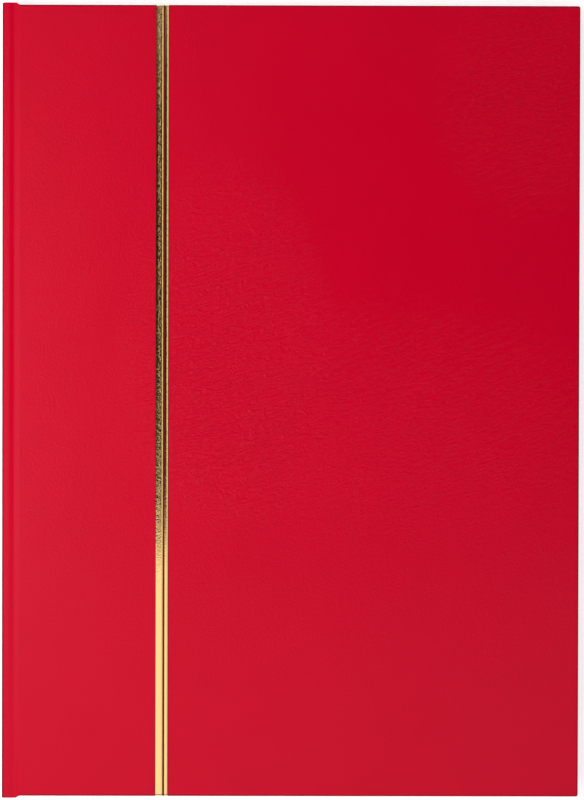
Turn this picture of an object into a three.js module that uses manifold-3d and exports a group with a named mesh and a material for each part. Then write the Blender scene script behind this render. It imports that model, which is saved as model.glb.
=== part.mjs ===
// A stock album for stamps, closed and lying on its back cover.
// A case of boards and leatherette holds eight card leaves with clear strips, glassine sheets
// between them, and a cloth hinge on every leaf. Millimetres, +Z up, +Y towards the head.
// Every piece is built with X measured from the outer face of the spine; the whole album is then
// moved so that the origin lies under its middle.
import * as THREE from "three";
import { mergeVertices } from "three/addons/utils/BufferGeometryUtils.js";
import Module from "manifold-3d";

const wasm = await Module();
wasm.setup();

// ---- Driving dimensions ----

// Case
const ALBUM_WIDTH = 224;
const BOARD_HEIGHT = 307;
const BOARD_THICKNESS = 2.2;
const BOARD_START = 7; // boards begin this far from the spine's outer face
const SKIN = 0.4; // leatherette
const TURN_IN = 15; // leatherette folded over the inside of a board
const TURN_IN_THICKNESS = 0.3;
const PASTEDOWN_THICKNESS = 0.15;
const PASTEDOWN_MARGIN = 3;
const EDGE_ROUND = 0.8;
const LAYER_GAP = 0.05; // between layers that are glued together

// Spine
const SPINE_THICKNESS = 2.6;
const SPINE_CORNER = 1;
const CAP_RISE = 0.8; // the spine stands past the boards at head and tail
const LINING_THICKNESS = 0.2;
const GROOVE_DEPTH = 0.25;
const GROOVE_CLOTH = 0.8;
const GROOVE_RIM = 0.1; // the cloth's edges lie this far under the boards' outer faces
const BAND_SIZE = 1.5;

// Gold lines stamped into the front cover
const WIDE_BAND_START = 59.75;
const WIDE_BAND_WIDTH = 2.75;
const THIN_LINE_START = 63.15;
const THIN_LINE_WIDTH = 1.35;
const STAMP_DEPTH = 0.2;
const FOIL_THICKNESS = 0.1;

// Leaves
const LEAF_COUNT = 8;
const LEAF_HEIGHT = 297;
const LEAF_START = 12; // card begins here, and the cloth hinge ends here
const LEAF_END = 220;
const CARD_THICKNESS = 0.5;
const STRIP_THICKNESS = 0.1;
const STRIP_COUNT = 9;
const STRIP_PITCH = 32;
const STRIP_HEIGHT = 27;
const STRIP_INNER_MARGIN = 8; // the cloth hinge is glued on here
const STRIP_OUTER_MARGIN = 2;
const STRIP_RAIL = 1.5; // film left whole at both ends of the strips
const HINGE_CLOTH = 0.25;
const GLASSINE_THICKNESS = 0.06;
const FLYLEAF_START = 8;
const FLYLEAF_THICKNESS = 0.15;
const SHEET_GAP = 0.12; // air between loose sheets

// Making
const BEVEL_STEPS = 3;
const CURVE_STEPS = 6;
const BAND_SIDES = 12;
const OVERCUT = 1; // cutting tools reach this far past what they cut
const MERGE_DISTANCE = 1e-4;

// ---- Worked-out sizes ----

const coverThickness = SKIN + BOARD_THICKNESS + TURN_IN_THICKNESS + PASTEDOWN_THICKNESS + 3 * LAYER_GAP;
const leafThickness = CARD_THICKNESS + 2 * (STRIP_THICKNESS + LAYER_GAP);
const leafPitch = leafThickness + GLASSINE_THICKNESS + 2 * SHEET_GAP;
const firstLeafZ = coverThickness + FLYLEAF_THICKNESS + 2 * SHEET_GAP;
const blockThickness = LEAF_COUNT * leafPitch - GLASSINE_THICKNESS - 2 * SHEET_GAP;
const albumThickness = 2 * firstLeafZ + blockThickness;
const capHeight = BOARD_HEIGHT + 2 * CAP_RISE;
const hingeStart = SPINE_THICKNESS + 0.1;

// ---- Colours and finishes ----

function finish(color, roughness, metalness = 0) {
  return new THREE.MeshStandardMaterial({ color, roughness, metalness });
}

const leatherette = () => finish(0xc40a2c, 0.45);
const greyboard = () => finish(0x8f877a, 0.95);
const gold = () => finish(0xe0b060, 0.3, 1);
const endpaper = () => finish(0xf0ece2, 0.9);
const blackCard = () => finish(0x17171a, 0.85);
const clearFilm = () => finish(0xdfe6ea, 0.15);
const glassine = () => finish(0xe9e4d4, 0.6);
const hingeCloth = () => finish(0x201f22, 0.95);
const mull = () => finish(0xcfc6b0, 0.95);
const bandThread = () => finish(0xd8d2c4, 0.9);

// ---- Shape helpers ----

function box(x0, x1, y0, y1, z0, z1) {
  const shape = new THREE.BoxGeometry(x1 - x0, y1 - y0, z1 - z0);
  return shape.translate((x0 + x1) / 2, (y0 + y1) / 2, (z0 + z1) / 2);
}

// A plate centred on Y = 0.
function plate(x0, x1, height, z0, z1) {
  return box(x0, x1, -height / 2, height / 2, z0, z1);
}

function rectangle(x0, x1, y0, y1) {
  const outline = new THREE.Shape();
  outline.moveTo(x0, y0);
  outline.lineTo(x1, y0);
  outline.lineTo(x1, y1);
  outline.lineTo(x0, y1);
  outline.closePath();
  return outline;
}

// A slab whose long edges are rounded by EDGE_ROUND, from z0 to z1.
function softSlab(x0, x1, height, z0, z1) {
  const slab = new THREE.ExtrudeGeometry(rectangle(x0, x1, -height / 2, height / 2), {
    depth: z1 - z0 - 2 * EDGE_ROUND,
    bevelThickness: EDGE_ROUND,
    bevelSize: EDGE_ROUND,
    bevelOffset: -EDGE_ROUND,
    bevelSegments: BEVEL_STEPS,
  });
  return slab.translate(0, 0, z0 + EDGE_ROUND);
}

// A section drawn in X and Z, run along Y and centred on Y = 0.
function alongY(section, height) {
  const solid = new THREE.ExtrudeGeometry(section, {
    depth: height,
    bevelEnabled: false,
    curveSegments: CURVE_STEPS,
  });
  return solid.rotateX(Math.PI / 2).translate(0, height / 2, 0);
}

function toManifold(geometry) {
  const bare = geometry.clone();
  bare.deleteAttribute("normal");
  bare.deleteAttribute("uv");
  const merged = mergeVertices(bare, MERGE_DISTANCE);
  return new wasm.Manifold(new wasm.Mesh({
    numProp: 3,
    vertProperties: merged.attributes.position.array,
    triVerts: new Uint32Array(merged.index.array),
  }));
}

function cut(geometry, ...tools) {
  let solid = toManifold(geometry);
  for (const tool of tools) {
    solid = solid.subtract(toManifold(tool));
  }
  const result = solid.getMesh();
  const made = new THREE.BufferGeometry();
  made.setAttribute("position", new THREE.BufferAttribute(result.vertProperties, 3));
  made.setIndex(new THREE.BufferAttribute(result.triVerts, 1));
  made.computeVertexNormals();
  return made;
}

function add(group, name, geometry, material) {
  const mesh = new THREE.Mesh(geometry, material);
  mesh.name = name;
  group.add(mesh);
}

// ---- Case ----

// Leatherette wrapped round a board, with its turn-ins; the board's outer face is at z = 0.
function coverSkin(...stamps) {
  const boardTop = SKIN + BOARD_THICKNESS + 2 * LAYER_GAP;
  const outer = softSlab(BOARD_START, ALBUM_WIDTH, BOARD_HEIGHT, 0, boardTop + TURN_IN_THICKNESS);
  const hollow = plate(
    BOARD_START + SKIN, ALBUM_WIDTH - SKIN, BOARD_HEIGHT - 2 * SKIN, SKIN, boardTop);
  const window = plate(
    BOARD_START + TURN_IN, ALBUM_WIDTH - TURN_IN, BOARD_HEIGHT - 2 * TURN_IN, SKIN, coverThickness);
  return cut(outer, hollow, window, ...stamps);
}

function coverBoard() {
  const side = SKIN + LAYER_GAP;
  return plate(
    BOARD_START + side, ALBUM_WIDTH - side, BOARD_HEIGHT - 2 * side,
    SKIN + LAYER_GAP, SKIN + LAYER_GAP + BOARD_THICKNESS);
}

function pastedown() {
  return plate(
    BOARD_START + PASTEDOWN_MARGIN, ALBUM_WIDTH - PASTEDOWN_MARGIN,
    BOARD_HEIGHT - 2 * PASTEDOWN_MARGIN,
    coverThickness - PASTEDOWN_THICKNESS, coverThickness);
}

// Cloth of the joint between spine and board: a shallow groove, its deepest line in the middle.
function jointCloth() {
  const start = SPINE_THICKNESS + LAYER_GAP;
  const end = BOARD_START - LAYER_GAP;
  const middle = (start + end) / 2;
  const deepest = GROOVE_RIM + 2 * GROOVE_DEPTH;
  const section = new THREE.Shape();
  section.moveTo(start, GROOVE_RIM);
  section.quadraticCurveTo(middle, deepest, end, GROOVE_RIM);
  section.lineTo(end, GROOVE_RIM + GROOVE_CLOTH);
  section.quadraticCurveTo(middle, deepest + GROOVE_CLOTH, start, GROOVE_RIM + GROOVE_CLOTH);
  section.closePath();
  return alongY(section, capHeight);
}

function stampChannel(start, width) {
  return plate(
    start - LAYER_GAP, start + width + LAYER_GAP, BOARD_HEIGHT + OVERCUT, -OVERCUT, STAMP_DEPTH);
}

// Foil lying in its channel; it stops where the board's edge starts to round off.
function foil(start, width) {
  const top = (STAMP_DEPTH - FOIL_THICKNESS) / 2;
  return plate(start, start + width, BOARD_HEIGHT - 2 * EDGE_ROUND, top, top + FOIL_THICKNESS);
}

function spineSkin() {
  const outline = new THREE.Shape();
  outline.moveTo(SPINE_THICKNESS, 0);
  outline.lineTo(SPINE_THICKNESS, albumThickness);
  outline.lineTo(SPINE_CORNER, albumThickness);
  outline.absarc(SPINE_CORNER, albumThickness - SPINE_CORNER, SPINE_CORNER, Math.PI / 2, Math.PI);
  outline.lineTo(0, SPINE_CORNER);
  outline.absarc(SPINE_CORNER, SPINE_CORNER, SPINE_CORNER, Math.PI, 1.5 * Math.PI);
  outline.closePath();
  const hollow = plate(
    SKIN, SPINE_THICKNESS + OVERCUT, capHeight - 2 * SKIN, SPINE_CORNER, albumThickness - SPINE_CORNER);
  return cut(alongY(outline, capHeight), hollow);
}

function spineBoard() {
  const side = SKIN + LAYER_GAP;
  return plate(
    side, SPINE_THICKNESS - LINING_THICKNESS - LAYER_GAP, capHeight - 2 * side,
    SPINE_CORNER + LAYER_GAP, albumThickness - SPINE_CORNER - LAYER_GAP);
}

function spineLining() {
  return plate(
    SPINE_THICKNESS - LINING_THICKNESS, SPINE_THICKNESS, LEAF_HEIGHT,
    coverThickness, albumThickness - coverThickness);
}

// A rolled band of thread across the end of the leaves, at the spine.
function endBand(direction) {
  const radius = BAND_SIZE / 2;
  const length = albumThickness - 2 * coverThickness;
  const roll = new THREE.CylinderGeometry(radius, radius, length, BAND_SIDES);
  roll.rotateX(Math.PI / 2);
  const y = direction * (LEAF_HEIGHT / 2 + radius + SHEET_GAP);
  return roll.translate(hingeStart + radius, y, albumThickness / 2);
}

// ---- Leaves ----

// All strips of one page: bands of film joined by narrow rails at their two ends.
function strips(z0) {
  const left = LEAF_START + STRIP_INNER_MARGIN;
  const right = LEAF_END - STRIP_OUTER_MARGIN;
  const height = (STRIP_COUNT - 1) * STRIP_PITCH + STRIP_HEIGHT;
  const outline = rectangle(left, right, -height / 2, height / 2);
  for (let row = 0; row < STRIP_COUNT - 1; row += 1) {
    const slotBottom = -height / 2 + STRIP_HEIGHT + row * STRIP_PITCH;
    const slotTop = slotBottom + STRIP_PITCH - STRIP_HEIGHT;
    outline.holes.push(rectangle(left + STRIP_RAIL, right - STRIP_RAIL, slotBottom, slotTop));
  }
  const film = new THREE.ExtrudeGeometry(outline, {
    depth: STRIP_THICKNESS,
    bevelEnabled: false,
  });
  return film.translate(0, 0, z0);
}

function addLeaf(group, number, z0) {
  const cardZ = z0 + STRIP_THICKNESS + LAYER_GAP;
  const cardTop = cardZ + CARD_THICKNESS;
  const clothZ = cardZ + (CARD_THICKNESS - HINGE_CLOTH) / 2;
  const name = "leaf_" + number;
  add(group, name + "_card", plate(LEAF_START, LEAF_END, LEAF_HEIGHT, cardZ, cardTop), blackCard());
  add(group, name + "_strips_recto", strips(cardTop + LAYER_GAP), clearFilm());
  add(group, name + "_strips_verso", strips(z0), clearFilm());
  add(group, name + "_linen_hinge",
    plate(hingeStart, LEAF_START - LAYER_GAP, LEAF_HEIGHT, clothZ, clothZ + HINGE_CLOTH),
    hingeCloth());
}

// ---- Assembly ----

const album = new THREE.Group();
const fromSpine = new THREE.Group();
fromSpine.position.x = -ALBUM_WIDTH / 2;
album.add(fromSpine);

const backCover = new THREE.Group();
add(backCover, "back_board", coverBoard(), greyboard());
add(backCover, "back_covering", coverSkin(), leatherette());
add(backCover, "back_pastedown", pastedown(), endpaper());
add(backCover, "back_joint_cloth", jointCloth(), leatherette());
fromSpine.add(backCover);

// The front cover is the back cover mirrored to the top of the album.
const frontCover = new THREE.Group();
frontCover.position.z = albumThickness;
frontCover.scale.z = -1;
const stamps = [
  stampChannel(WIDE_BAND_START, WIDE_BAND_WIDTH),
  stampChannel(THIN_LINE_START, THIN_LINE_WIDTH),
];
add(frontCover, "front_board", coverBoard(), greyboard());
add(frontCover, "front_covering", coverSkin(...stamps), leatherette());
add(frontCover, "front_pastedown", pastedown(), endpaper());
add(frontCover, "front_joint_cloth", jointCloth(), leatherette());
add(frontCover, "wide_gold_band", foil(WIDE_BAND_START, WIDE_BAND_WIDTH), gold());
add(frontCover, "thin_gold_line", foil(THIN_LINE_START, THIN_LINE_WIDTH), gold());
fromSpine.add(frontCover);

const spine = new THREE.Group();
add(spine, "spine_board", spineBoard(), greyboard());
add(spine, "spine_covering", spineSkin(), leatherette());
add(spine, "spine_lining", spineLining(), mull());
add(spine, "head_band", endBand(1), bandThread());
add(spine, "tail_band", endBand(-1), bandThread());
fromSpine.add(spine);

// Leaf 1 is the first under the front cover, so the highest. Glassine sheet N lies between
// leaf N and leaf N + 1.
const leaves = new THREE.Group();
for (let number = 1; number <= LEAF_COUNT; number += 1) {
  const z = firstLeafZ + (LEAF_COUNT - number) * leafPitch;
  addLeaf(leaves, number, z);
  if (number < LEAF_COUNT) {
    const sheetTop = z - SHEET_GAP;
    add(leaves, "interleaf_" + number,
      plate(LEAF_START, LEAF_END, LEAF_HEIGHT, sheetTop - GLASSINE_THICKNESS, sheetTop),
      glassine());
  }
}
const flyleafZ = coverThickness + SHEET_GAP;
add(leaves, "back_flyleaf",
  plate(FLYLEAF_START, LEAF_END, LEAF_HEIGHT, flyleafZ, flyleafZ + FLYLEAF_THICKNESS),
  endpaper());
const frontFlyleafTop = albumThickness - flyleafZ;
add(leaves, "front_flyleaf",
  plate(FLYLEAF_START, LEAF_END, LEAF_HEIGHT, frontFlyleafTop - FLYLEAF_THICKNESS, frontFlyleafTop),
  endpaper());
fromSpine.add(leaves);

export default album;
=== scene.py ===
"""A stock album for stamps: its leatherette case, gold lines, pages and the studio round it.

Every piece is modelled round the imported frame, in metres. X runs from the spine to the
fore-edge, Y towards the head, Z up through the closed album, which lies on its back cover.
"""
import math

import bmesh
import bpy
from bpy.props import FloatProperty, FloatVectorProperty, IntProperty, PointerProperty
from mathutils import Euler, Matrix, Vector


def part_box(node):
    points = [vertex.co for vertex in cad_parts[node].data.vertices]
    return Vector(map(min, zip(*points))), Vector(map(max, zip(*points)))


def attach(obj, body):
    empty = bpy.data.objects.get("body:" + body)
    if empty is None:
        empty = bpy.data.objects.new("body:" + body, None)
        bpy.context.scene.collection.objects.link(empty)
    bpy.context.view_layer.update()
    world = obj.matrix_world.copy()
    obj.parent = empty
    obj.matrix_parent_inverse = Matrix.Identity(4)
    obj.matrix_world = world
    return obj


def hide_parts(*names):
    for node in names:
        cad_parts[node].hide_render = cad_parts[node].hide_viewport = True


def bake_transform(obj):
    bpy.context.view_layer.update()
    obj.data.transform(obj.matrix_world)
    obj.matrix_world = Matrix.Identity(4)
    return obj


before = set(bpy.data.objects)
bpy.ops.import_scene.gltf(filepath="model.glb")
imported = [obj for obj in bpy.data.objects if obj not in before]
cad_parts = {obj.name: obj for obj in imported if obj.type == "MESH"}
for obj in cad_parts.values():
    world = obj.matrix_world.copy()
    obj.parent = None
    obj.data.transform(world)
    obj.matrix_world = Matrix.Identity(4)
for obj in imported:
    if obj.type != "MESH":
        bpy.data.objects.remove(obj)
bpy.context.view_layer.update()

bl_info = {
    "name": "Stamp Stock Album",
    "version": (1, 0, 0),
    "blender": (4, 5, 0),
    "location": "View3D > Sidebar > Album",
    "description": "Models a hardback stock album for stamps round its packed frame",
    "category": "Object",
}

MM = 0.001
TINY = 0.002 * MM
FOLD = 1.4 * MM  # how much of the pastedown next to the spine is cut fine, so that it can bend
LEAVES = range(1, 9)
INTERLEAVES = range(1, 8)

SPINE_LOW, SPINE_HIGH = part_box("spine_covering")
FRONT_LOW, FRONT_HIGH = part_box("front_covering")
BACK_LOW, BACK_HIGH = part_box("back_covering")
CARD_LOW, CARD_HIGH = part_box("leaf_1_card")
ALBUM_TOP = FRONT_HIGH.z
HEAD = FRONT_HIGH.y
CAP = SPINE_HIGH.y


# ---------------------------------------------------------------- settings


def length(name, description, default):
    return FloatProperty(name=name, description=description, default=default,
                         subtype="DISTANCE", unit="LENGTH", precision=5)


def colour(name, description, default):
    return FloatVectorProperty(name=name, description=description, default=default,
                               size=4, subtype="COLOR", min=0, max=1)


class AlbumSizes(bpy.types.PropertyGroup):
    """Sizes of the parts that the frame leaves to the looks."""

    skin: length("Leatherette", "Thickness of the covering material", 0.4 * MM)
    edge_round: length("Board edge", "Radius of the covered board's edges", 0.8 * MM)
    spine_corner: length("Spine corner", "Radius of the spine's long corners", 1.0 * MM)
    cap_round: length("Cap edge", "Radius at the head and tail of the spine", 0.45 * MM)
    turn_in: length("Turn-in", "How far the covering folds over inside", 15 * MM)
    turn_in_skin: length("Turn-in thickness", "Thickness of the folded-over part", 0.3 * MM)
    groove: length("Groove", "Depth of the joint groove", 0.22 * MM)
    joint_cloth: length("Joint", "Thickness of the joint between board and spine", 0.8 * MM)
    stamp: length("Stamp", "Depth of the stamped lines", 0.16 * MM)
    foil: length("Foil", "Thickness of the gold foil", 0.02 * MM)
    foil_lean: FloatProperty(name="Foil lean", description="Slope of a stamped line's floor",
                             default=math.radians(1), subtype="ANGLE")
    strip_film: length("Strip film", "Thickness of a clear strip", 0.08 * MM)
    strip_weld: length("Weld", "Height of the band that fixes a strip", 1.5 * MM)
    hinge_flap: length("Hinge flap", "Width of the linen glued to a card", 6 * MM)


class AlbumCounts(bpy.types.PropertyGroup):
    """How many of the repeated parts there are."""

    strips: IntProperty(name="Strips", description="Clear strips on a page", default=9, min=1)
    band_wraps: IntProperty(name="Wraps", description="Thread wraps in an end band", default=9, min=2)


class AlbumColours(bpy.types.PropertyGroup):
    """Colours of the materials."""

    leather: colour("Leatherette", "Colour of the covering", (0.665, 0.0006, 0.0235, 1))
    gold: colour("Gold", "Colour of the foil", (0.95, 0.62, 0.26, 1))
    card: colour("Card", "Colour of the page card", (0.014, 0.0135, 0.014, 1))
    paper: colour("Paper", "Colour of the endpapers", (0.84, 0.81, 0.73, 1))
    board: colour("Board", "Colour of the bookbinding board", (0.27, 0.25, 0.22, 1))
    linen: colour("Linen", "Colour of the hinge cloth", (0.022, 0.021, 0.023, 1))
    mull: colour("Mull", "Colour of the spine lining", (0.62, 0.55, 0.42, 1))
    glassine: colour("Glassine", "Colour of the interleaves", (0.83, 0.81, 0.74, 1))
    thread_light: colour("Light thread", "Light colour of the end bands", (0.78, 0.74, 0.65, 1))
    thread_dark: colour("Red thread", "Dark colour of the end bands", (0.42, 0.01, 0.02, 1))
    floor: colour("Floor", "Colour of the floor and backdrop", (0.93, 0.93, 0.93, 1))


class AlbumStudio(bpy.types.PropertyGroup):
    """Camera and lights."""

    distance: length("Camera distance", "From the front cover to the camera", 1.2)
    lean: FloatVectorProperty(name="Camera lean", description="Pitch, yaw and roll off the vertical",
                              default=[math.radians(angle) for angle in (-0.76, -0.3, 0.135)],
                              size=3, subtype="EULER")
    target: FloatVectorProperty(name="Camera target", description="Middle of the view on the cover",
                                default=(0.49 * MM, 0.55 * MM), size=2, subtype="XYZ_LENGTH", precision=5)
    lens: FloatProperty(name="Lens", description="Focal length in millimetres", default=139.2, min=1)
    box_height: length("Softbox height", "Height of the softboxes", 0.9)
    box_width: length("Softbox width", "Width of the softboxes", 0.5)
    left_glow: FloatProperty(name="Left glow", description="Radiance of the softbox past the spine",
                             default=0.85, min=0)
    near_glow: FloatProperty(name="Near glow", description="Radiance of the softbox past the tail",
                             default=1.15, min=0)
    head_glow: FloatProperty(name="Head glow", description="Radiance of the softbox past the head",
                             default=0.3, min=0)
    fill_glow: FloatProperty(name="Fill glow", description="Radiance of the small fill light",
                             default=5.6, min=0)
    room_glow: FloatProperty(name="Room glow", description="Radiance of the room", default=0.02, min=0)
    floor_glow: FloatProperty(name="Floor glow", description="Light that the sweep itself gives",
                              default=0.3, min=0)
    pool_glow: FloatProperty(name="Pool glow", description="The same round the album", default=0.66, min=0)


def sizes():
    return bpy.context.scene.album_sizes


def colours():
    return bpy.context.scene.album_colours


# ---------------------------------------------------------------- modelling by hand


def add_box(name, low, high):
    """A new cube between two corners, with its place in its mesh."""
    low, high = Vector(low), Vector(high)
    bpy.ops.object.select_all(action="DESELECT")
    bpy.ops.mesh.primitive_cube_add(size=1, location=(low + high) / 2, scale=high - low)
    piece = bpy.context.active_object
    piece.name = piece.data.name = name
    bpy.ops.object.transform_apply(location=True, rotation=True, scale=True)
    return piece


def select_only(piece):
    bpy.ops.object.select_all(action="DESELECT")
    piece.select_set(True)
    bpy.context.view_layer.objects.active = piece


def open_edit(piece, kind="FACE"):
    select_only(piece)
    bpy.ops.object.mode_set(mode="EDIT")
    bpy.ops.mesh.select_mode(type=kind)
    bpy.ops.mesh.select_all(action="DESELECT")


def close_edit():
    bpy.ops.object.mode_set(mode="OBJECT")


def pick(piece, kind, test):
    """In edit mode, selects only the points, edges or faces whose middle passes the test."""
    bpy.ops.mesh.select_mode(type=kind)
    bpy.ops.mesh.select_all(action="DESELECT")
    shape = bmesh.from_edit_mesh(piece.data)
    if kind == "VERT":
        for point in shape.verts:
            point.select_set(test(point.co, point.normal))
    if kind == "EDGE":
        for edge in shape.edges:
            middle = (edge.verts[0].co + edge.verts[1].co) / 2
            edge.select_set(test(middle, (edge.verts[1].co - edge.verts[0].co).normalized()))
    if kind == "FACE":
        for face in shape.faces:
            face.select_set(test(face.calc_center_median(), face.normal))
    shape.select_flush_mode()
    bmesh.update_edit_mesh(piece.data)


def slice_at(piece, test, axis, places):
    """Cuts the faces that pass the test across an axis, once at each place."""
    normal = [0, 0, 0]
    normal[axis] = 1
    for place in places:
        point = [0, 0, 0]
        point[axis] = place
        pick(piece, "FACE", test)
        bpy.ops.mesh.bisect(plane_co=point, plane_no=normal)


def everywhere(_place, _direction):
    return True


def extrude(step):
    bpy.ops.mesh.extrude_region_move(TRANSFORM_OT_translate={"value": tuple(step)})


def soften(piece, degrees=35):
    """Smooth shading that keeps the large faces flat."""
    select_only(piece)
    bpy.ops.object.shade_smooth_by_angle(angle=math.radians(degrees))
    flatten = piece.modifiers.new("flat faces", "WEIGHTED_NORMAL")
    flatten.keep_sharp = True
    flatten.weight = 90
    bpy.ops.object.modifier_apply(modifier=flatten.name)


def apply_all(piece):
    select_only(piece)
    for modifier in list(piece.modifiers):
        bpy.ops.object.modifier_apply(modifier=modifier.name)


def copy_piece(piece, name, move):
    """A copy with its own mesh, placed by a matrix that goes into the mesh."""
    made = piece.copy()
    made.data = piece.data.copy()
    made.name = made.data.name = name
    bpy.context.scene.collection.objects.link(made)
    made.data.transform(move)
    if move.determinant() < 0:
        made.data.flip_normals()
    return made


def dress(piece, *materials):
    piece.data.materials.clear()
    for material in materials:
        piece.data.materials.append(material)


def spread(low, high, count):
    """The places that divide a length into equal parts, without its ends."""
    return [low + (high - low) * step / count for step in range(1, count)]


def smooth(share):
    share = min(1, max(0, share))
    return share * share * (3 - 2 * share)


# ---------------------------------------------------------------- shader expressions


class Socket:
    """An output socket that can be used in Python sums."""

    def __init__(self, finish, socket):
        self.finish = finish
        self.socket = socket

    def maths(self, operation, *values, clamp=False):
        made = self.finish.node("ShaderNodeMath", dict(enumerate(values)), operation=operation,
                                use_clamp=clamp)
        return made[0]

    def __add__(self, other):
        return self.maths("ADD", self, other)

    def __radd__(self, other):
        return self.maths("ADD", other, self)

    def __sub__(self, other):
        return self.maths("SUBTRACT", self, other)

    def __rsub__(self, other):
        return self.maths("SUBTRACT", other, self)

    def __mul__(self, other):
        return self.maths("MULTIPLY", self, other)

    def __rmul__(self, other):
        return self.maths("MULTIPLY", other, self)

    def __abs__(self):
        return self.maths("ABSOLUTE", self)

    def clamped(self):
        return self.maths("ADD", self, 0, clamp=True)

    def power(self, exponent):
        return self.maths("POWER", self, exponent)

    def above(self, start, end):
        """0 below start, 1 above end, smooth between."""
        made = self.finish.node("ShaderNodeMapRange", {"Value": self, "From Min": start, "From Max": end},
                                interpolation_type="SMOOTHSTEP")
        return made[0]


class Outputs:
    """A node's outputs by number or name, as Sockets."""

    def __init__(self, finish, node):
        self.finish = finish
        self.node = node

    def __getitem__(self, key):
        return Socket(self.finish, self.node.outputs[key])


class Finish:
    """A material being made; constants go straight onto the shader's own sockets."""

    def __init__(self, name, **constants):
        self.material = bpy.data.materials.new(name)
        self.material.use_nodes = True
        self.tree = self.material.node_tree
        self.shader = self.tree.nodes["Principled BSDF"]
        for key, value in constants.items():
            self.shader.inputs[key.replace("_", " ")].default_value = value

    def node(self, kind, inputs=None, **settings):
        made = self.tree.nodes.new(kind)
        for key, value in settings.items():
            setattr(made, key, value)
        for key, value in (inputs or {}).items():
            self.feed(made.inputs[key], value)
        return Outputs(self, made)

    def feed(self, socket, value):
        if isinstance(value, Socket):
            self.tree.links.new(value.socket, socket)
        else:
            socket.default_value = value

    def drive(self, **sockets):
        for key, value in sockets.items():
            self.feed(self.shader.inputs[key.replace("_", " ")], value)

    def place(self, turn=0.0, stretch=(1, 1, 1), shift=(0, 0, 0)):
        """The piece's own coordinates in metres, moved, turned about Z and stretched."""
        here = self.node("ShaderNodeTexCoord")["Object"]
        moved = self.node("ShaderNodeMapping", {"Vector": here, "Location": shift}, vector_type="POINT")
        turned = self.node("ShaderNodeMapping", {
            "Vector": moved["Vector"], "Rotation": (0, 0, turn)}, vector_type="POINT")
        return self.node("ShaderNodeMapping", {
            "Vector": turned["Vector"], "Scale": stretch}, vector_type="POINT")["Vector"]

    def split(self, vector):
        parts = self.node("ShaderNodeSeparateXYZ", {0: vector})
        return parts[0], parts[1], parts[2]

    def noise(self, vector, scale, detail=3.0, roughness=0.55, distortion=0.0):
        return self.node("ShaderNodeTexNoise", {
            "Vector": vector, "Scale": scale, "Detail": detail,
            "Roughness": roughness, "Distortion": distortion})["Fac"]

    def cells(self, vector, scale):
        return self.node("ShaderNodeTexVoronoi", {"Vector": vector, "Scale": scale})["Distance"]

    def mix(self, share, first, second):
        made = self.node("ShaderNodeMix", data_type="RGBA")
        self.feed(made.node.inputs[0], share)
        self.feed(made.node.inputs[6], first)
        self.feed(made.node.inputs[7], second)
        return made[2]

    def relief(self, height, depth):
        """Bumps of a height that runs from 0 to 1, over a depth in metres."""
        made = self.node("ShaderNodeBump", {"Height": height, "Strength": 1.0, "Distance": depth})
        self.drive(Normal=made["Normal"])


def shade(rgba, factor):
    return (*[channel * factor for channel in rgba[:3]], 1)


# ---------------------------------------------------------------- materials


def patch(finish, centre, radii):
    """1 in the middle of an oval patch of the cover, fading to 0 at its rim."""
    x, y, _ = finish.split(finish.place(shift=(-centre[0], -centre[1], 0),
                                        stretch=(1 / radii[0], 1 / radii[1], 1)))
    return (1 - (x * x + y * y)).clamped()


def leatherette(name="grained_leatherette", edge_shade_amount=0.9):
    """Fine grained leatherette; soft wrinkles run slanting over part of the front cover."""
    ready = bpy.data.materials.get(name)
    if ready:
        return ready
    tint = tuple(colours().leather)
    made = Finish(name, Specular_IOR_Level=0.09)
    here = made.place()
    slanted = made.place(turn=math.radians(-27), stretch=(150, 470, 260))
    folds = made.noise(slanted, 1.0, detail=2.0, roughness=0.6, distortion=1.3)
    wrinkles = 1 - abs(folds * 2 - 1).power(0.7)
    strong = patch(made, (-24 * MM, 24 * MM), (44 * MM, 80 * MM))
    wide = patch(made, (30 * MM, -6 * MM), (105 * MM, 52 * MM))
    corner = patch(made, (94 * MM, 122 * MM), (44 * MM, 56 * MM))
    amount = (strong + 0.45 * wide + 0.8 * corner + 0.1).clamped()
    pebbles = made.cells(here, 1250)
    grain = made.noise(here, 2400, detail=1.0)
    made.relief(wrinkles * amount + pebbles * 0.12 + grain * 0.065, 0.28 * MM)
    cloudy = made.noise(here, 35, detail=1.0)
    share = (cloudy * 0.5 + grain * 0.5).above(0.25, 0.75)
    tone = made.mix(share, shade(tint, 0.975), shade(tint, 1.025))
    # painted shade: the rounded edges are darkened in the colour
    edge_shaded_tone = made.mix(shaded_rounding(made) * edge_shade_amount, tone, (0.1, 0.004, 0.025, 1))
    # painted shade: dark brown round the gold lines, at the channels' edges and between them
    made.drive(Base_Color=made.mix(gold_line_shade(made) * 0.95, edge_shaded_tone, (0.13, 0.01, 0.002, 1)),
               Roughness=0.16 + grain * 0.05)
    return made.material


def shaded_rounding(made):
    """1 on the rounded edges between the flat faces, whose colour is darkened there as painted shade."""
    facing = made.node("ShaderNodeTexCoord")["Normal"]
    _, _, upright = made.split(facing)
    return (1 - abs(upright).above(0.8, 0.98)) * abs(upright).above(0.08, 0.2)


def gold_line_shade(made):
    """1 round the gold lines: painted shade at the channels' edges and in the gap between the lines."""
    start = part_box("wide_gold_band")[0].x
    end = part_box("thin_gold_line")[1].x
    x, _, z = made.split(made.place(shift=(-(start + end) / 2, 0, -ALBUM_TOP)))
    beside = 1 - abs(x).above((end - start) / 2, (end - start) / 2 + 0.45 * MM)
    return beside * z.above(-2 * MM, -MM)


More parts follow.
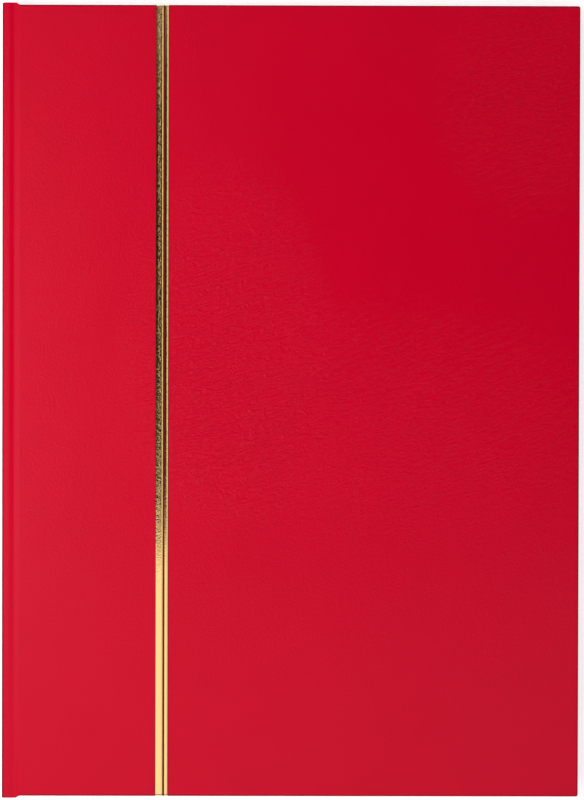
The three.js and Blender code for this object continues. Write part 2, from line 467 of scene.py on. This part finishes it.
def gold_foil():
    """Hot-stamped foil, smooth and bright towards the tail, mottled and darker towards the head: partly
    worn foil, partly a painted dark reflection.
    """
    tint = tuple(colours().gold)
    made = Finish("stamped_gold", Metallic=1.0)
    x, y, _ = made.split(made.place())
    upper = y.above(-72 * MM, -32 * MM)
    blotches = made.noise(made.place(turn=math.radians(25), stretch=(1, 1.3, 1)), 1050, detail=1.5,
                          roughness=0.7, distortion=0.8)
    spread_out = upper * 0.27 - y.above(50 * MM, 150 * MM) * 0.1 - 0.25
    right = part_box("wide_gold_band")[1].x  # the painted darkening stops short of this side, keeping a painted highlight on the channel's wall
    highlight_wall = x.above(right - 1.0 * MM, right - 0.4 * MM)
    # mottled darkening: partly worn foil, partly painted dark reflection, strongest towards the head
    wear_and_painted_shade = (blotches + spread_out).above(0.53, 0.6) * (1 - highlight_wall * 0.75)
    made.relief(blotches * (upper * 0.8 + 0.2) * (1 - highlight_wall * 0.7), 0.05 * MM)
    made.drive(Base_Color=made.mix(wear_and_painted_shade, tint, shade(tint, 0.1)), Roughness=0.08 + wear_and_painted_shade * 0.15)
    return made.material


def page_card():
    """Dyed-through black card with a faint fibre."""
    tint = tuple(colours().card)
    made = Finish("page_card", Roughness=0.72, Specular_IOR_Level=0.35)
    here = made.place()
    fibre = made.noise(made.place(stretch=(1, 0.35, 1)), 2600, detail=3.0, distortion=1.5)
    cloudy = made.noise(here, 90, detail=2.0)
    made.relief(fibre * 0.7 + cloudy * 0.3, 0.02 * MM)
    fleck = fibre.above(0.58, 0.8)
    made.drive(Base_Color=made.mix(fleck, tint, shade(tint, 2.2)), Roughness=0.66 + cloudy * 0.12)
    return made.material


def endpaper():
    """Uncoated paper with a soft tooth and pale fibres."""
    tint = tuple(colours().paper)
    made = Finish("toothed_paper", Roughness=0.85, Specular_IOR_Level=0.3)
    here = made.place()
    tooth = made.noise(here, 1900, detail=3.0)
    cloudy = made.noise(here, 60, detail=3.0)
    made.relief(tooth * 0.7 + cloudy * 0.3, 0.03 * MM)
    made.drive(Base_Color=made.mix((tooth * 0.4 + cloudy * 0.6).above(0.3, 0.75),
                                   shade(tint, 0.93), shade(tint, 1.03)))
    return made.material


def greyboard():
    """Recycled board, grey with darker and lighter specks."""
    tint = tuple(colours().board)
    made = Finish("bookbinding_board", Roughness=0.92, Specular_IOR_Level=0.2)
    here = made.place()
    speck = made.noise(here, 1500, detail=4.0)
    made.relief(speck, 0.06 * MM)
    made.drive(Base_Color=made.mix(speck.above(0.35, 0.7), shade(tint, 0.75), shade(tint, 1.25)))
    return made.material


def clear_film():
    """Clear film with the faint waviness of a thin strip."""
    made = Finish("strip_film", Roughness=0.06, Transmission_Weight=1.0, IOR=1.47,
                  Base_Color=(0.96, 0.97, 0.98, 1))
    ripple = made.noise(made.place(stretch=(1, 2, 1)), 22, detail=1.0)
    made.relief(ripple, 0.06 * MM)
    return made.material


def film_weld():
    """The frosted band where a strip is fixed along its bottom edge."""
    made = Finish("film_weld", Base_Color=(0.1, 0.1, 0.105, 1), Specular_IOR_Level=0.6)
    here = made.place()
    knurl = made.cells(here, 2200)
    made.relief(knurl, 0.04 * MM)
    made.drive(Roughness=0.3 + knurl * 0.25)
    return made.material


def glassine():
    """Smooth translucent interleaving paper."""
    tint = tuple(colours().glassine)
    made = Finish("glassine_sheet", Roughness=0.35, Transmission_Weight=0.72, IOR=1.4)
    here = made.place()
    cloudy = made.noise(here, 120, detail=4.0)
    made.relief(cloudy, 0.05 * MM)
    made.drive(Base_Color=made.mix(cloudy.above(0.35, 0.7), shade(tint, 0.95), shade(tint, 1.03)))
    return made.material


def weave(made, turn, pitch):
    """Height of a plain weave whose threads lie a pitch apart along X and Y."""
    x, y, _ = made.split(made.place(turn=turn, stretch=(math.pi / pitch, math.pi / pitch, 1)))
    across = x.maths("SINE", x)
    along = y.maths("SINE", y)
    over = across * along
    return abs(across) * over.above(-0.1, 0.1) + abs(along) * (1 - over.above(-0.1, 0.1))


def hinge_linen():
    """Black bookbinding linen, a tight plain weave."""
    tint = tuple(colours().linen)
    made = Finish("woven_linen", Roughness=0.78, Sheen_Weight=0.15, Specular_IOR_Level=0.3)
    threads = weave(made, 0.0, 0.42 * MM)
    fuzz = made.noise(made.place(), 2600, detail=3.0)
    made.relief(threads * 0.8 + fuzz * 0.3, 0.07 * MM)
    # lighter on the worn crowns of the threads, darker in the hollows between them: painted shade
    wear_and_painted_shade = (threads * 0.7 + fuzz * 0.4).clamped()
    made.drive(Base_Color=made.mix(wear_and_painted_shade, shade(tint, 0.4), shade(tint, 1.9)))
    return made.material


def mull():
    """Open starched spine cloth."""
    tint = tuple(colours().mull)
    made = Finish("open_mull", Roughness=0.9, Specular_IOR_Level=0.2)
    threads = weave(made, 0.0, 0.9 * MM)
    fuzz = made.noise(made.place(), 1800, detail=3.0)
    made.relief(threads + fuzz * 0.3, 0.12 * MM)
    raised = (threads + 0.3 * fuzz).above(0.2, 0.9)
    made.drive(Base_Color=made.mix(raised, shade(tint, 0.45), shade(tint, 1.1)))
    return made.material


def band_thread():
    """Thread wraps in turn light and red."""
    tints = colours()
    made = Finish("wound_thread", Roughness=0.7, Sheen_Weight=0.1)
    low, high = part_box("head_band")
    wrap = (high.z - low.z) / bpy.context.scene.album_counts.band_wraps
    _, _, z = made.split(made.place(shift=(0, 0, -low.z)))
    stripe = z.maths("PINGPONG", z, wrap).above(0.49 * wrap, 0.51 * wrap)
    strand = made.noise(made.place(stretch=(1, 1, 4)), 1500, detail=2.0)
    made.relief(strand, 0.05 * MM)
    made.drive(Base_Color=made.mix(stripe, tuple(tints.thread_light), tuple(tints.thread_dark)),
               Roughness=0.62 + strand * 0.2)
    return made.material


def studio_floor(glow, pool_glow):
    """Pale paper sweep, lit from within, most of all round the album, so that shadows stay soft."""
    tint = tuple(colours().floor)
    made = Finish("studio_floor", Roughness=0.85, Specular_IOR_Level=0.15, Emission_Strength=1)
    here = made.place()
    x, y, _ = made.split(here)
    away = (x * x + y * y).power(0.5).above(0.25, 1.1)
    cloudy = made.noise(here, 3, detail=2.0)
    made.drive(Base_Color=made.mix(cloudy, shade(tint, 0.985), tint),
               Emission_Color=made.mix(away, shade(tint, pool_glow), shade(tint, glow)))
    return made.material


# ---------------------------------------------------------------- operators


class ALBUM_OT_stage(bpy.types.Operator):
    """Floor with a curved backdrop, two softboxes, a fill light and the camera"""

    bl_idname = "album.stage"
    bl_label = "Studio"

    def execute(self, context):
        studio = context.scene.album_studio
        self.add_sweep(studio_floor(studio.floor_glow, studio.pool_glow))
        self.add_lights(studio, self.add_camera(studio))
        return {"FINISHED"}

    def add_sweep(self, paper):
        """A round floor whose rim bends up into a wall."""
        radius, bend, wall, steps = 3.2, 0.6, 1.6, 8
        bpy.ops.object.select_all(action="DESELECT")
        bpy.ops.mesh.primitive_circle_add(vertices=96, radius=radius, fill_type="NGON",
                                          location=(0, 0, 0))
        floor = bpy.context.active_object
        floor.name = floor.data.name = "sweep"
        open_edit(floor, "EDGE")
        bpy.ops.mesh.select_all(action="SELECT")
        bpy.ops.mesh.region_to_loop()
        for step in range(steps):
            start = math.radians(90 * step / steps)
            end = math.radians(90 * (step + 1) / steps)
            outwards = bend * (math.sin(end) - math.sin(start))
            upwards = bend * (math.cos(start) - math.cos(end))
            self.raise_rim(radius, outwards, upwards)
            radius += outwards
        self.raise_rim(radius, 0, wall)
        close_edit()
        soften(floor, 60)
        dress(floor, paper)

    def raise_rim(self, radius, outwards, upwards):
        extrude((0, 0, upwards))
        grow = (radius + outwards) / radius
        bpy.ops.transform.resize(value=(grow, grow, 1), center_override=(0, 0, 0))

    def add_panel(self, name, centre, size, glow, aim, shiny=True):
        """A flat light of the given radiance that faces a point."""
        bpy.ops.object.light_add(type="AREA", location=centre)
        lamp = bpy.context.active_object
        lamp.name = lamp.data.name = name
        lamp.data.shape = "RECTANGLE"
        lamp.data.size, lamp.data.size_y = size
        lamp.data.energy = glow * math.pi * size[0] * size[1]
        lamp.rotation_euler = (Vector(centre) - Vector(aim)).to_track_quat("Z", "Y").to_euler()
        lamp.visible_camera = False
        lamp.visible_glossy = shiny

    def add_lights(self, studio, camera):
        """Softboxes whose edges mirror in the cover at chosen lines, and a soft fill above."""
        height, width, long = studio.box_height, studio.box_width, 1.2
        left = self.mirrored(camera, -55 * MM, 0, height).x - width / 2
        near = self.mirrored(camera, 0, -54 * MM, height).y - width / 2
        far = self.mirrored(camera, 0, 150 * MM, height).y + width / 2
        self.add_panel("softbox_left", (left, 0, height), (width, long), studio.left_glow, (left, 0, 0))
        self.add_panel("softbox_near", (0, near, height), (long, width), studio.near_glow, (0, near, 0))
        self.add_panel("softbox_head", (0, far, height), (long, width), studio.head_glow, (0, far, 0))
        self.add_panel("fill", (-0.27, 0.0, 0.5), (0.3, 0.3), studio.fill_glow, (0, 0, 0), shiny=False)
        world = bpy.data.worlds.new("room")
        bpy.context.scene.world = world
        world.use_nodes = True
        glow = world.node_tree.nodes["Background"].inputs
        glow["Color"].default_value = (1, 1, 1, 1)
        glow["Strength"].default_value = studio.room_glow
        bpy.context.scene.view_settings.view_transform = "Standard"

    def mirrored(self, camera, x, y, height):
        """The point at a height that the camera sees mirrored in the cover at x, y."""
        place = Vector((x, y, ALBUM_TOP))
        away = place - camera.location
        return place + Vector((away.x, away.y, -away.z)) * (height - ALBUM_TOP) / -away.z

    def add_camera(self, studio):
        """Above the front cover, leaning a little."""
        turn = Euler(studio.lean).to_matrix()
        target = Vector((*studio.target, ALBUM_TOP))
        bpy.ops.object.camera_add(location=target + turn.col[2] * studio.distance,
                                  rotation=turn.to_euler())
        camera = bpy.context.active_object
        camera.name = camera.data.name = "camera"
        camera.data.lens = studio.lens
        camera.data.clip_start = 0.05
        bpy.context.scene.camera = camera
        return camera


class ALBUM_OT_cover_leather(bpy.types.Operator):
    """The leatherette round both boards, turned in, with the stamped channels and their foil"""

    bl_idname = "album.cover_leather"
    bl_label = "Covers and gold lines"

    def execute(self, context):
        leather = leatherette()
        front = self.wrap_board("front_leather", "front_covering", 1)
        lines = self.stamp_lines(front)
        back = self.wrap_board("back_leather", "back_covering", -1)
        for piece, node, body in ((front, "front_covering", "front_cover"),
                                  (back, "back_covering", "back_cover")):
            soften(piece)
            dress(piece, leather)
            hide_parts(node)
            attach(piece, body)
        foil = gold_foil()
        for piece, node in lines:
            soften(piece)
            dress(piece, foil)
            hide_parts(node)
            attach(piece, "front_cover")
        return {"FINISHED"}

    def wrap_board(self, name, node, outward):
        """A shell round a board: rounded outside, open where the turn-ins end."""
        low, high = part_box(node)
        piece = add_box(name, low, high)
        open_edit(piece)
        pick(piece, "EDGE", lambda place, _: place.x > low.x + TINY)
        bpy.ops.mesh.bevel(offset=sizes().edge_round, segments=5, affect="EDGES")
        inner_z = low.z if outward > 0 else high.z
        pick(piece, "FACE", lambda place, normal: normal.z * outward < -0.99)
        bpy.ops.mesh.inset(thickness=sizes().turn_in - sizes().edge_round)
        extrude((0, 0, outward * sizes().turn_in_skin))
        extrude((0, 0, 0))
        middle = (low + high) / 2
        turned = Vector((sizes().turn_in, sizes().turn_in, 0))
        wall = Vector((sizes().skin, sizes().skin, 0))
        pocket = (high - low) - 2 * wall
        window = (high - low) - 2 * turned
        grow = (pocket.x / window.x, pocket.y / window.y, 1)
        bpy.ops.transform.resize(value=grow, center_override=(middle.x, middle.y, inner_z))
        extrude((0, 0, outward * (high.z - low.z - sizes().turn_in_skin - sizes().skin)))
        close_edit()
        return piece

    def stamp_lines(self, cover):
        """Presses two channels into the cover and lifts a copy of their floor off as foil."""
        lines = ("wide_gold_band", "thin_gold_line")
        rim = 0.22 * MM
        open_edit(cover)
        for node in lines:
            low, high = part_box(node)
            profile = self.channel(high.x - low.x)
            slice_at(cover, lambda place, normal: normal.z > -0.2, 0,
                     [low.x - rim, high.x + rim, *[low.x + offset for offset, _ in profile]])
            for offset, share in profile:
                self.press(cover, low.x + offset, share * sizes().stamp)
        close_edit()
        return [(self.lift_foil(cover, node), node) for node in lines]

    def channel(self, width):
        """Offsets across a channel and the share of its depth there: a flat or round floor."""
        steps = 10
        wall = min(0.5 * MM, width * 0.5)
        shares = []
        for step in range(steps + 1):
            offset = width * step / steps
            inside = min(offset, width - offset) / wall
            depth = 0.25 + 0.75 * math.sin(math.pi / 2 * min(1, inside))
            lean = math.tan(sizes().foil_lean) * (offset - width / 2) / sizes().stamp
            shares.append((offset, depth + lean))
        return shares

    def press(self, cover, x, depth):
        """Sinks the line of points at x, on the face and round the head and tail edges."""
        floor = (FRONT_LOW.z + FRONT_HIGH.z) / 2
        pick(cover, "VERT", lambda place, _: abs(place.x - x) < TINY and place.z > floor)
        bpy.ops.transform.shrink_fatten(value=-depth)

    def lift_foil(self, cover, node):
        low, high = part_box(node)
        floor = (FRONT_LOW.z + FRONT_HIGH.z) / 2
        open_edit(cover)
        pick(cover, "FACE", lambda place, normal: low.x < place.x < high.x and place.z > floor
             and normal.z > 0.3)
        bpy.ops.mesh.duplicate()
        bpy.ops.mesh.separate(type="SELECTED")
        close_edit()
        made = next(o for o in bpy.context.selected_objects if o != cover)
        made.name = made.data.name = node.replace("_gold", "_foil")
        solid = made.modifiers.new("foil", "SOLIDIFY")
        solid.thickness = sizes().foil
        solid.offset = 1
        solid.use_even_offset = True
        apply_all(made)
        return made


class ALBUM_OT_spine_leather(bpy.types.Operator):
    """The leatherette over the spine, its head and tail caps, and the two joints"""

    bl_idname = "album.spine_leather"
    bl_label = "Spine and joints"

    def execute(self, context):
        leather = leatherette()
        bending = leatherette("joint_leatherette", edge_shade_amount=0.0)
        spine = self.wrap_spine()
        soften(spine)
        dress(spine, leather)
        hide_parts("spine_covering")
        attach(spine, "spine")
        for side, body, outward in (("front", "front_cover", 1), ("back", "back_cover", -1)):
            joint = self.fold_joint(side + "_joint_leather", outward)
            soften(joint, 50)
            dress(joint, bending)
            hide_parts(side + "_joint_cloth")
            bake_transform(joint)
        return {"FINISHED"}

    def wrap_spine(self):
        piece = add_box("spine_leather", SPINE_LOW, SPINE_HIGH)
        open_edit(piece)
        pick(piece, "EDGE", lambda place, way: place.x < SPINE_LOW.x + TINY and abs(way.y) > 0.9)
        bpy.ops.mesh.bevel(offset=sizes().spine_corner, segments=8, affect="EDGES")
        pick(piece, "EDGE", lambda place, way: abs(place.y) > CAP - TINY
             and place.x < SPINE_HIGH.x - TINY)
        bpy.ops.mesh.bevel(offset=sizes().cap_round, segments=4, affect="EDGES")
        pick(piece, "FACE", lambda place, normal: normal.x > 0.99)
        bpy.ops.mesh.inset(thickness=sizes().skin)
        extrude((-(SPINE_HIGH.x - SPINE_LOW.x - sizes().skin), 0, 0))
        close_edit()
        return piece

    def fold_joint(self, name, outward):
        """The strip between spine and board: a shallow groove, raised to the caps at its ends."""
        outer_z = ALBUM_TOP if outward > 0 else 0.0
        inner_z = outer_z - outward * sizes().joint_cloth
        low = (SPINE_HIGH.x, -HEAD, min(outer_z, inner_z))
        high = (FRONT_LOW.x, HEAD, max(outer_z, inner_z))
        piece = add_box(name, low, high)
        columns = spread(SPINE_HIGH.x, FRONT_LOW.x, 24)
        end_zone, deeper, bead = 22 * MM, 0.8, 0.35 * MM
        open_edit(piece)
        slice_at(piece, everywhere, 0, columns)
        slice_at(piece, everywhere, 1, (-HEAD + end_zone, HEAD - end_zone))
        for x in [SPINE_HIGH.x, *columns]:
            share = (x - SPINE_HIGH.x) / (FRONT_LOW.x - SPINE_HIGH.x)
            groove = sizes().groove * math.sin(math.pi * share) ** 2
            self.shift(piece, lambda place, _: abs(place.x - x) < TINY, (0, 0, -outward * groove))
            self.shift(piece, lambda place, _: abs(place.x - x) < TINY and abs(place.y) > HEAD - TINY,
                       (0, 0, -outward * groove * deeper))
            rise = (CAP - HEAD) * (1 - smooth((share - 0.62) / 0.33))
            for end in (-1, 1):
                self.shift(piece, lambda place, _: abs(place.x - x) < TINY and place.y * end > HEAD - TINY,
                           (0, end * rise, 0))
        pick(piece, "EDGE", lambda place, way: abs(place.y) > HEAD - TINY and abs(way.x) > 0.5
             and (place.z - (outer_z + inner_z) / 2) * outward > 0)
        bpy.ops.mesh.bevel(offset=bead, segments=4, affect="EDGES")
        close_edit()
        return piece

    def shift(self, piece, test, step):
        pick(piece, "VERT", test)
        bpy.ops.transform.translate(value=step)


class ALBUM_OT_endpapers(bpy.types.Operator):
    """The pastedowns inside the covers and the flyleaves, which share a fold at the joint"""

    bl_idname = "album.endpapers"
    bl_label = "Endpapers"

    def execute(self, context):
        paper = endpaper()
        fold_x = SPINE_HIGH.x + 0.12 * MM
        for side, body in (("front", "front_cover"), ("back", "back_cover")):
            low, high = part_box(side + "_pastedown")
            sheet = add_box(side + "_pastedown_sheet", (fold_x, low.y, low.z), high)
            open_edit(sheet)
            slice_at(sheet, everywhere, 0, [*spread(fold_x, fold_x + FOLD, 8), fold_x + FOLD])
            self.press_turn_in(sheet, 1 if side == "back" else -1)
            close_edit()
            self.finish_sheet(sheet, paper, side + "_pastedown")
            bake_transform(sheet)
            low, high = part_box(side + "_flyleaf")
            leaf = add_box(side + "_flyleaf_sheet", (fold_x, low.y, low.z), high)
            open_edit(leaf)
            slice_at(leaf, everywhere, 0, [*spread(fold_x, low.x, 14), low.x])
            close_edit()
            self.finish_sheet(leaf, paper, side + "_flyleaf")
            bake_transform(leaf)
        return {"FINISHED"}

    def press_turn_in(self, sheet, inward):
        """The paper sinks a little inside the line where the turn-ins end."""
        margin, slope, sink = 3 * MM, 0.8 * MM, 0.08 * MM
        pick(sheet, "FACE", lambda place, normal: normal.z * inward > 0.9
             and place.x > FRONT_LOW.x + sizes().turn_in)
        bpy.ops.mesh.inset(thickness=sizes().turn_in - margin)
        bpy.ops.mesh.inset(thickness=slope)
        bpy.ops.transform.translate(value=(0, 0, -inward * sink))

    def finish_sheet(self, sheet, paper, node):
        soften(sheet, 20)
        dress(sheet, paper)
        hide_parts(node)


class ALBUM_OT_pages(bpy.types.Operator):
    """Finishes the page cards and lays the clear strips on both sides of each"""

    bl_idname = "album.pages"
    bl_label = "Pages and strips"

    def execute(self, context):
        card = page_card()
        page = self.strip_page(context.scene.album_counts.strips)
        mirror = Matrix.Scale(-1, 4, (0, 0, 1))
        to_face = Matrix.Translation((0, 0, -CARD_HIGH.z))
        for number in LEAVES:
            leaf = f"leaf_{number}"
            dress(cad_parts[leaf + "_card"], card)
            low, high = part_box(leaf + "_card")
            up = Matrix.Translation((0, 0, high.z)) @ to_face
            over = Matrix.Translation((0, 0, low.z)) @ mirror @ to_face
            for side, move in (("recto", up), ("verso", over)):
                made = copy_piece(page, f"{leaf}_pockets_{side}", move)
                soften(made, 20)
                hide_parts(f"{leaf}_strips_{side}")
                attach(made, leaf)
        bpy.data.objects.remove(page)
        return {"FINISHED"}

    def strip_page(self, count):
        """All strips of one page, on the upper face of the first leaf's card."""
        low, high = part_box("leaf_1_strips_recto")
        pitch = (high.y - low.y - self.strip_height(low, high, count)) / (count - 1)
        top = low.y + self.strip_height(low, high, count)
        base = CARD_HIGH.z + 0.01 * MM
        film = sizes().strip_film
        piece = add_box("strip_page", (low.x, low.y, base), (high.x, top, base + film))
        weld = sizes().strip_weld
        rows = ((weld, 0.0), (weld + 0.8 * MM, 0.03), (top - low.y - 1.2 * MM, 0.035), (top - low.y, 0.05))
        open_edit(piece)
        slice_at(piece, everywhere, 1, [low.y + offset for offset, _ in rows[:3]])
        for offset, rise in rows:
            pick(piece, "VERT", lambda place, _: abs(place.y - low.y - offset) < TINY)
            bpy.ops.transform.translate(value=(0, 0, rise * MM))
        close_edit()
        dress(piece, clear_film(), film_weld())
        for face in piece.data.polygons:
            face.material_index = 1 if face.center.y < low.y + weld else 0
        repeat = piece.modifiers.new("rows", "ARRAY")
        repeat.count = count
        repeat.use_relative_offset = False
        repeat.use_constant_offset = True
        repeat.constant_offset_displace = (0, pitch, 0)
        apply_all(piece)
        return piece

    def strip_height(self, low, high, count):
        """The strips and the gaps between them share a page in the ratio 27 to 5."""
        return (high.y - low.y) * 27 / (27 * count + 5 * (count - 1))


class ALBUM_OT_hinges(bpy.types.Operator):
    """A linen hinge from the spine to each card, glued over both its faces"""

    bl_idname = "album.hinges"
    bl_label = "Linen hinges"

    def execute(self, context):
        linen = hinge_linen()
        model = self.hinge()
        low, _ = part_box("leaf_1_linen_hinge")
        for number in LEAVES:
            node = f"leaf_{number}_linen_hinge"
            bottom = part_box(node)[0].z
            made = copy_piece(model, f"leaf_{number}_linen", Matrix.Translation((0, 0, bottom - low.z)))
            soften(made, 40)
            dress(made, linen)
            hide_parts(node)
            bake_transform(made)
        bpy.data.objects.remove(model)
        return {"FINISHED"}

    def hinge(self):
        low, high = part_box("leaf_1_linen_hinge")
        middle = (CARD_LOW.z + CARD_HIGH.z) / 2
        half_card = (CARD_HIGH.z - CARD_LOW.z) / 2
        flap, glue = 0.09 * MM, 0.02 * MM
        end = CARD_LOW.x - glue
        piece = add_box("linen_model", low, (end, high.y, high.z))
        open_edit(piece)
        slice_at(piece, everywhere, 0, spread(low.x, end, 14))
        pick(piece, "FACE", lambda place, normal: normal.x > 0.99)
        open_height = 2 * (half_card + glue + flap)
        bpy.ops.transform.resize(value=(1, 1, open_height / (high.z - low.z)),
                                 center_override=(end, 0, middle))
        for side in (-1, 1):
            slice_at(piece, lambda place, normal: normal.x > 0.99, 2,
                     [middle + side * (half_card + glue)])
        for side in (-1, 1):
            pick(piece, "FACE", lambda place, normal: normal.x > 0.99
                 and (place.z - middle) * side > half_card)
            extrude((sizes().hinge_flap, 0, 0))
        close_edit()
        return piece


class ALBUM_OT_interleaves(bpy.types.Operator):
    """The glassine sheets between the leaves, held at the spine"""

    bl_idname = "album.interleaves"
    bl_label = "Interleaves"

    def execute(self, context):
        material = glassine()
        for number in INTERLEAVES:
            node = f"interleaf_{number}"
            low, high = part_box(node)
            start = SPINE_HIGH.x + 0.15 * MM
            sheet = add_box(f"glassine_{number}", (start, low.y, low.z), high)
            open_edit(sheet)
            slice_at(sheet, everywhere, 0, [*spread(start, low.x, 14), low.x])
            close_edit()
            dress(sheet, material)
            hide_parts(node)
            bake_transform(sheet)
        return {"FINISHED"}


class ALBUM_OT_spine_inside(bpy.types.Operator):
    """The end bands, the spine lining and the boards inside the covering"""

    bl_idname = "album.spine_inside"
    bl_label = "End bands, lining and boards"

    def execute(self, context):
        thread = band_thread()
        for node in ("head_band", "tail_band"):
            band = self.wrapped_band(node, context.scene.album_counts.band_wraps)
            soften(band, 60)
            dress(band, thread)
            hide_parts(node)
            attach(band, "spine")
        dress(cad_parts["spine_lining"], mull())
        board = greyboard()
        for node in ("front_board", "back_board", "spine_board"):
            dress(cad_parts[node], board)
        return {"FINISHED"}

    def wrapped_band(self, node, wraps):
        """A roll whose thread bulges between the wraps."""
        low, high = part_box(node)
        middle = (low + high) / 2
        radius = (high.x - low.x) / 2
        bpy.ops.object.select_all(action="DESELECT")
        bpy.ops.mesh.primitive_cylinder_add(vertices=20, radius=radius, depth=high.z - low.z,
                                            location=middle)
        piece = bpy.context.active_object
        piece.name = piece.data.name = node + "_thread"
        bpy.ops.object.transform_apply(location=True, rotation=True, scale=True)
        steps = 4
        places = spread(low.z, high.z, wraps * steps)
        open_edit(piece)
        slice_at(piece, everywhere, 2, places)
        for index, z in enumerate(places):
            share = (index + 1) % steps / steps
            girth = 0.84 + 0.16 * math.sin(math.pi * share)
            pick(piece, "VERT", lambda place, _: abs(place.z - z) < TINY)
            bpy.ops.transform.resize(value=(girth, girth, 1), center_override=(middle.x, middle.y, z))
        close_edit()
        return piece


class ALBUM_PT_parts(bpy.types.Panel):
    """Buttons for the album's parts and fields for its settings"""

    bl_idname = "ALBUM_PT_parts"
    bl_label = "Stamp Stock Album"
    bl_space_type = "VIEW_3D"
    bl_region_type = "UI"
    bl_category = "Album"

    def draw(self, context):
        for operator in OPERATORS:
            self.layout.operator(operator.bl_idname, text=operator.bl_label)
        for group in ("album_sizes", "album_counts", "album_colours", "album_studio"):
            settings = getattr(context.scene, group)
            box = self.layout.box()
            for name in settings.__annotations__:
                box.prop(settings, name)


OPERATORS = (
    ALBUM_OT_stage,
    ALBUM_OT_cover_leather,
    ALBUM_OT_spine_leather,
    ALBUM_OT_endpapers,
    ALBUM_OT_pages,
    ALBUM_OT_hinges,
    ALBUM_OT_interleaves,
    ALBUM_OT_spine_inside,
)
SETTINGS = {
    "album_sizes": AlbumSizes,
    "album_counts": AlbumCounts,
    "album_colours": AlbumColours,
    "album_studio": AlbumStudio,
}


def register():
    for group, kind in SETTINGS.items():
        bpy.utils.register_class(kind)
        setattr(bpy.types.Scene, group, PointerProperty(type=kind))
    for operator in OPERATORS:
        bpy.utils.register_class(operator)
    bpy.utils.register_class(ALBUM_PT_parts)


def unregister():
    bpy.utils.unregister_class(ALBUM_PT_parts)
    for operator in reversed(OPERATORS):
        bpy.utils.unregister_class(operator)
    for group, kind in SETTINGS.items():
        delattr(bpy.types.Scene, group)
        bpy.utils.unregister_class(kind)


def main():
    register()
    bpy.ops.album.stage()
    bpy.ops.album.cover_leather()
    bpy.ops.album.spine_leather()
    bpy.ops.album.endpapers()
    bpy.ops.album.pages()
    bpy.ops.album.hinges()
    bpy.ops.album.interleaves()
    bpy.ops.album.spine_inside()


if __name__ == "__main__":
    main()
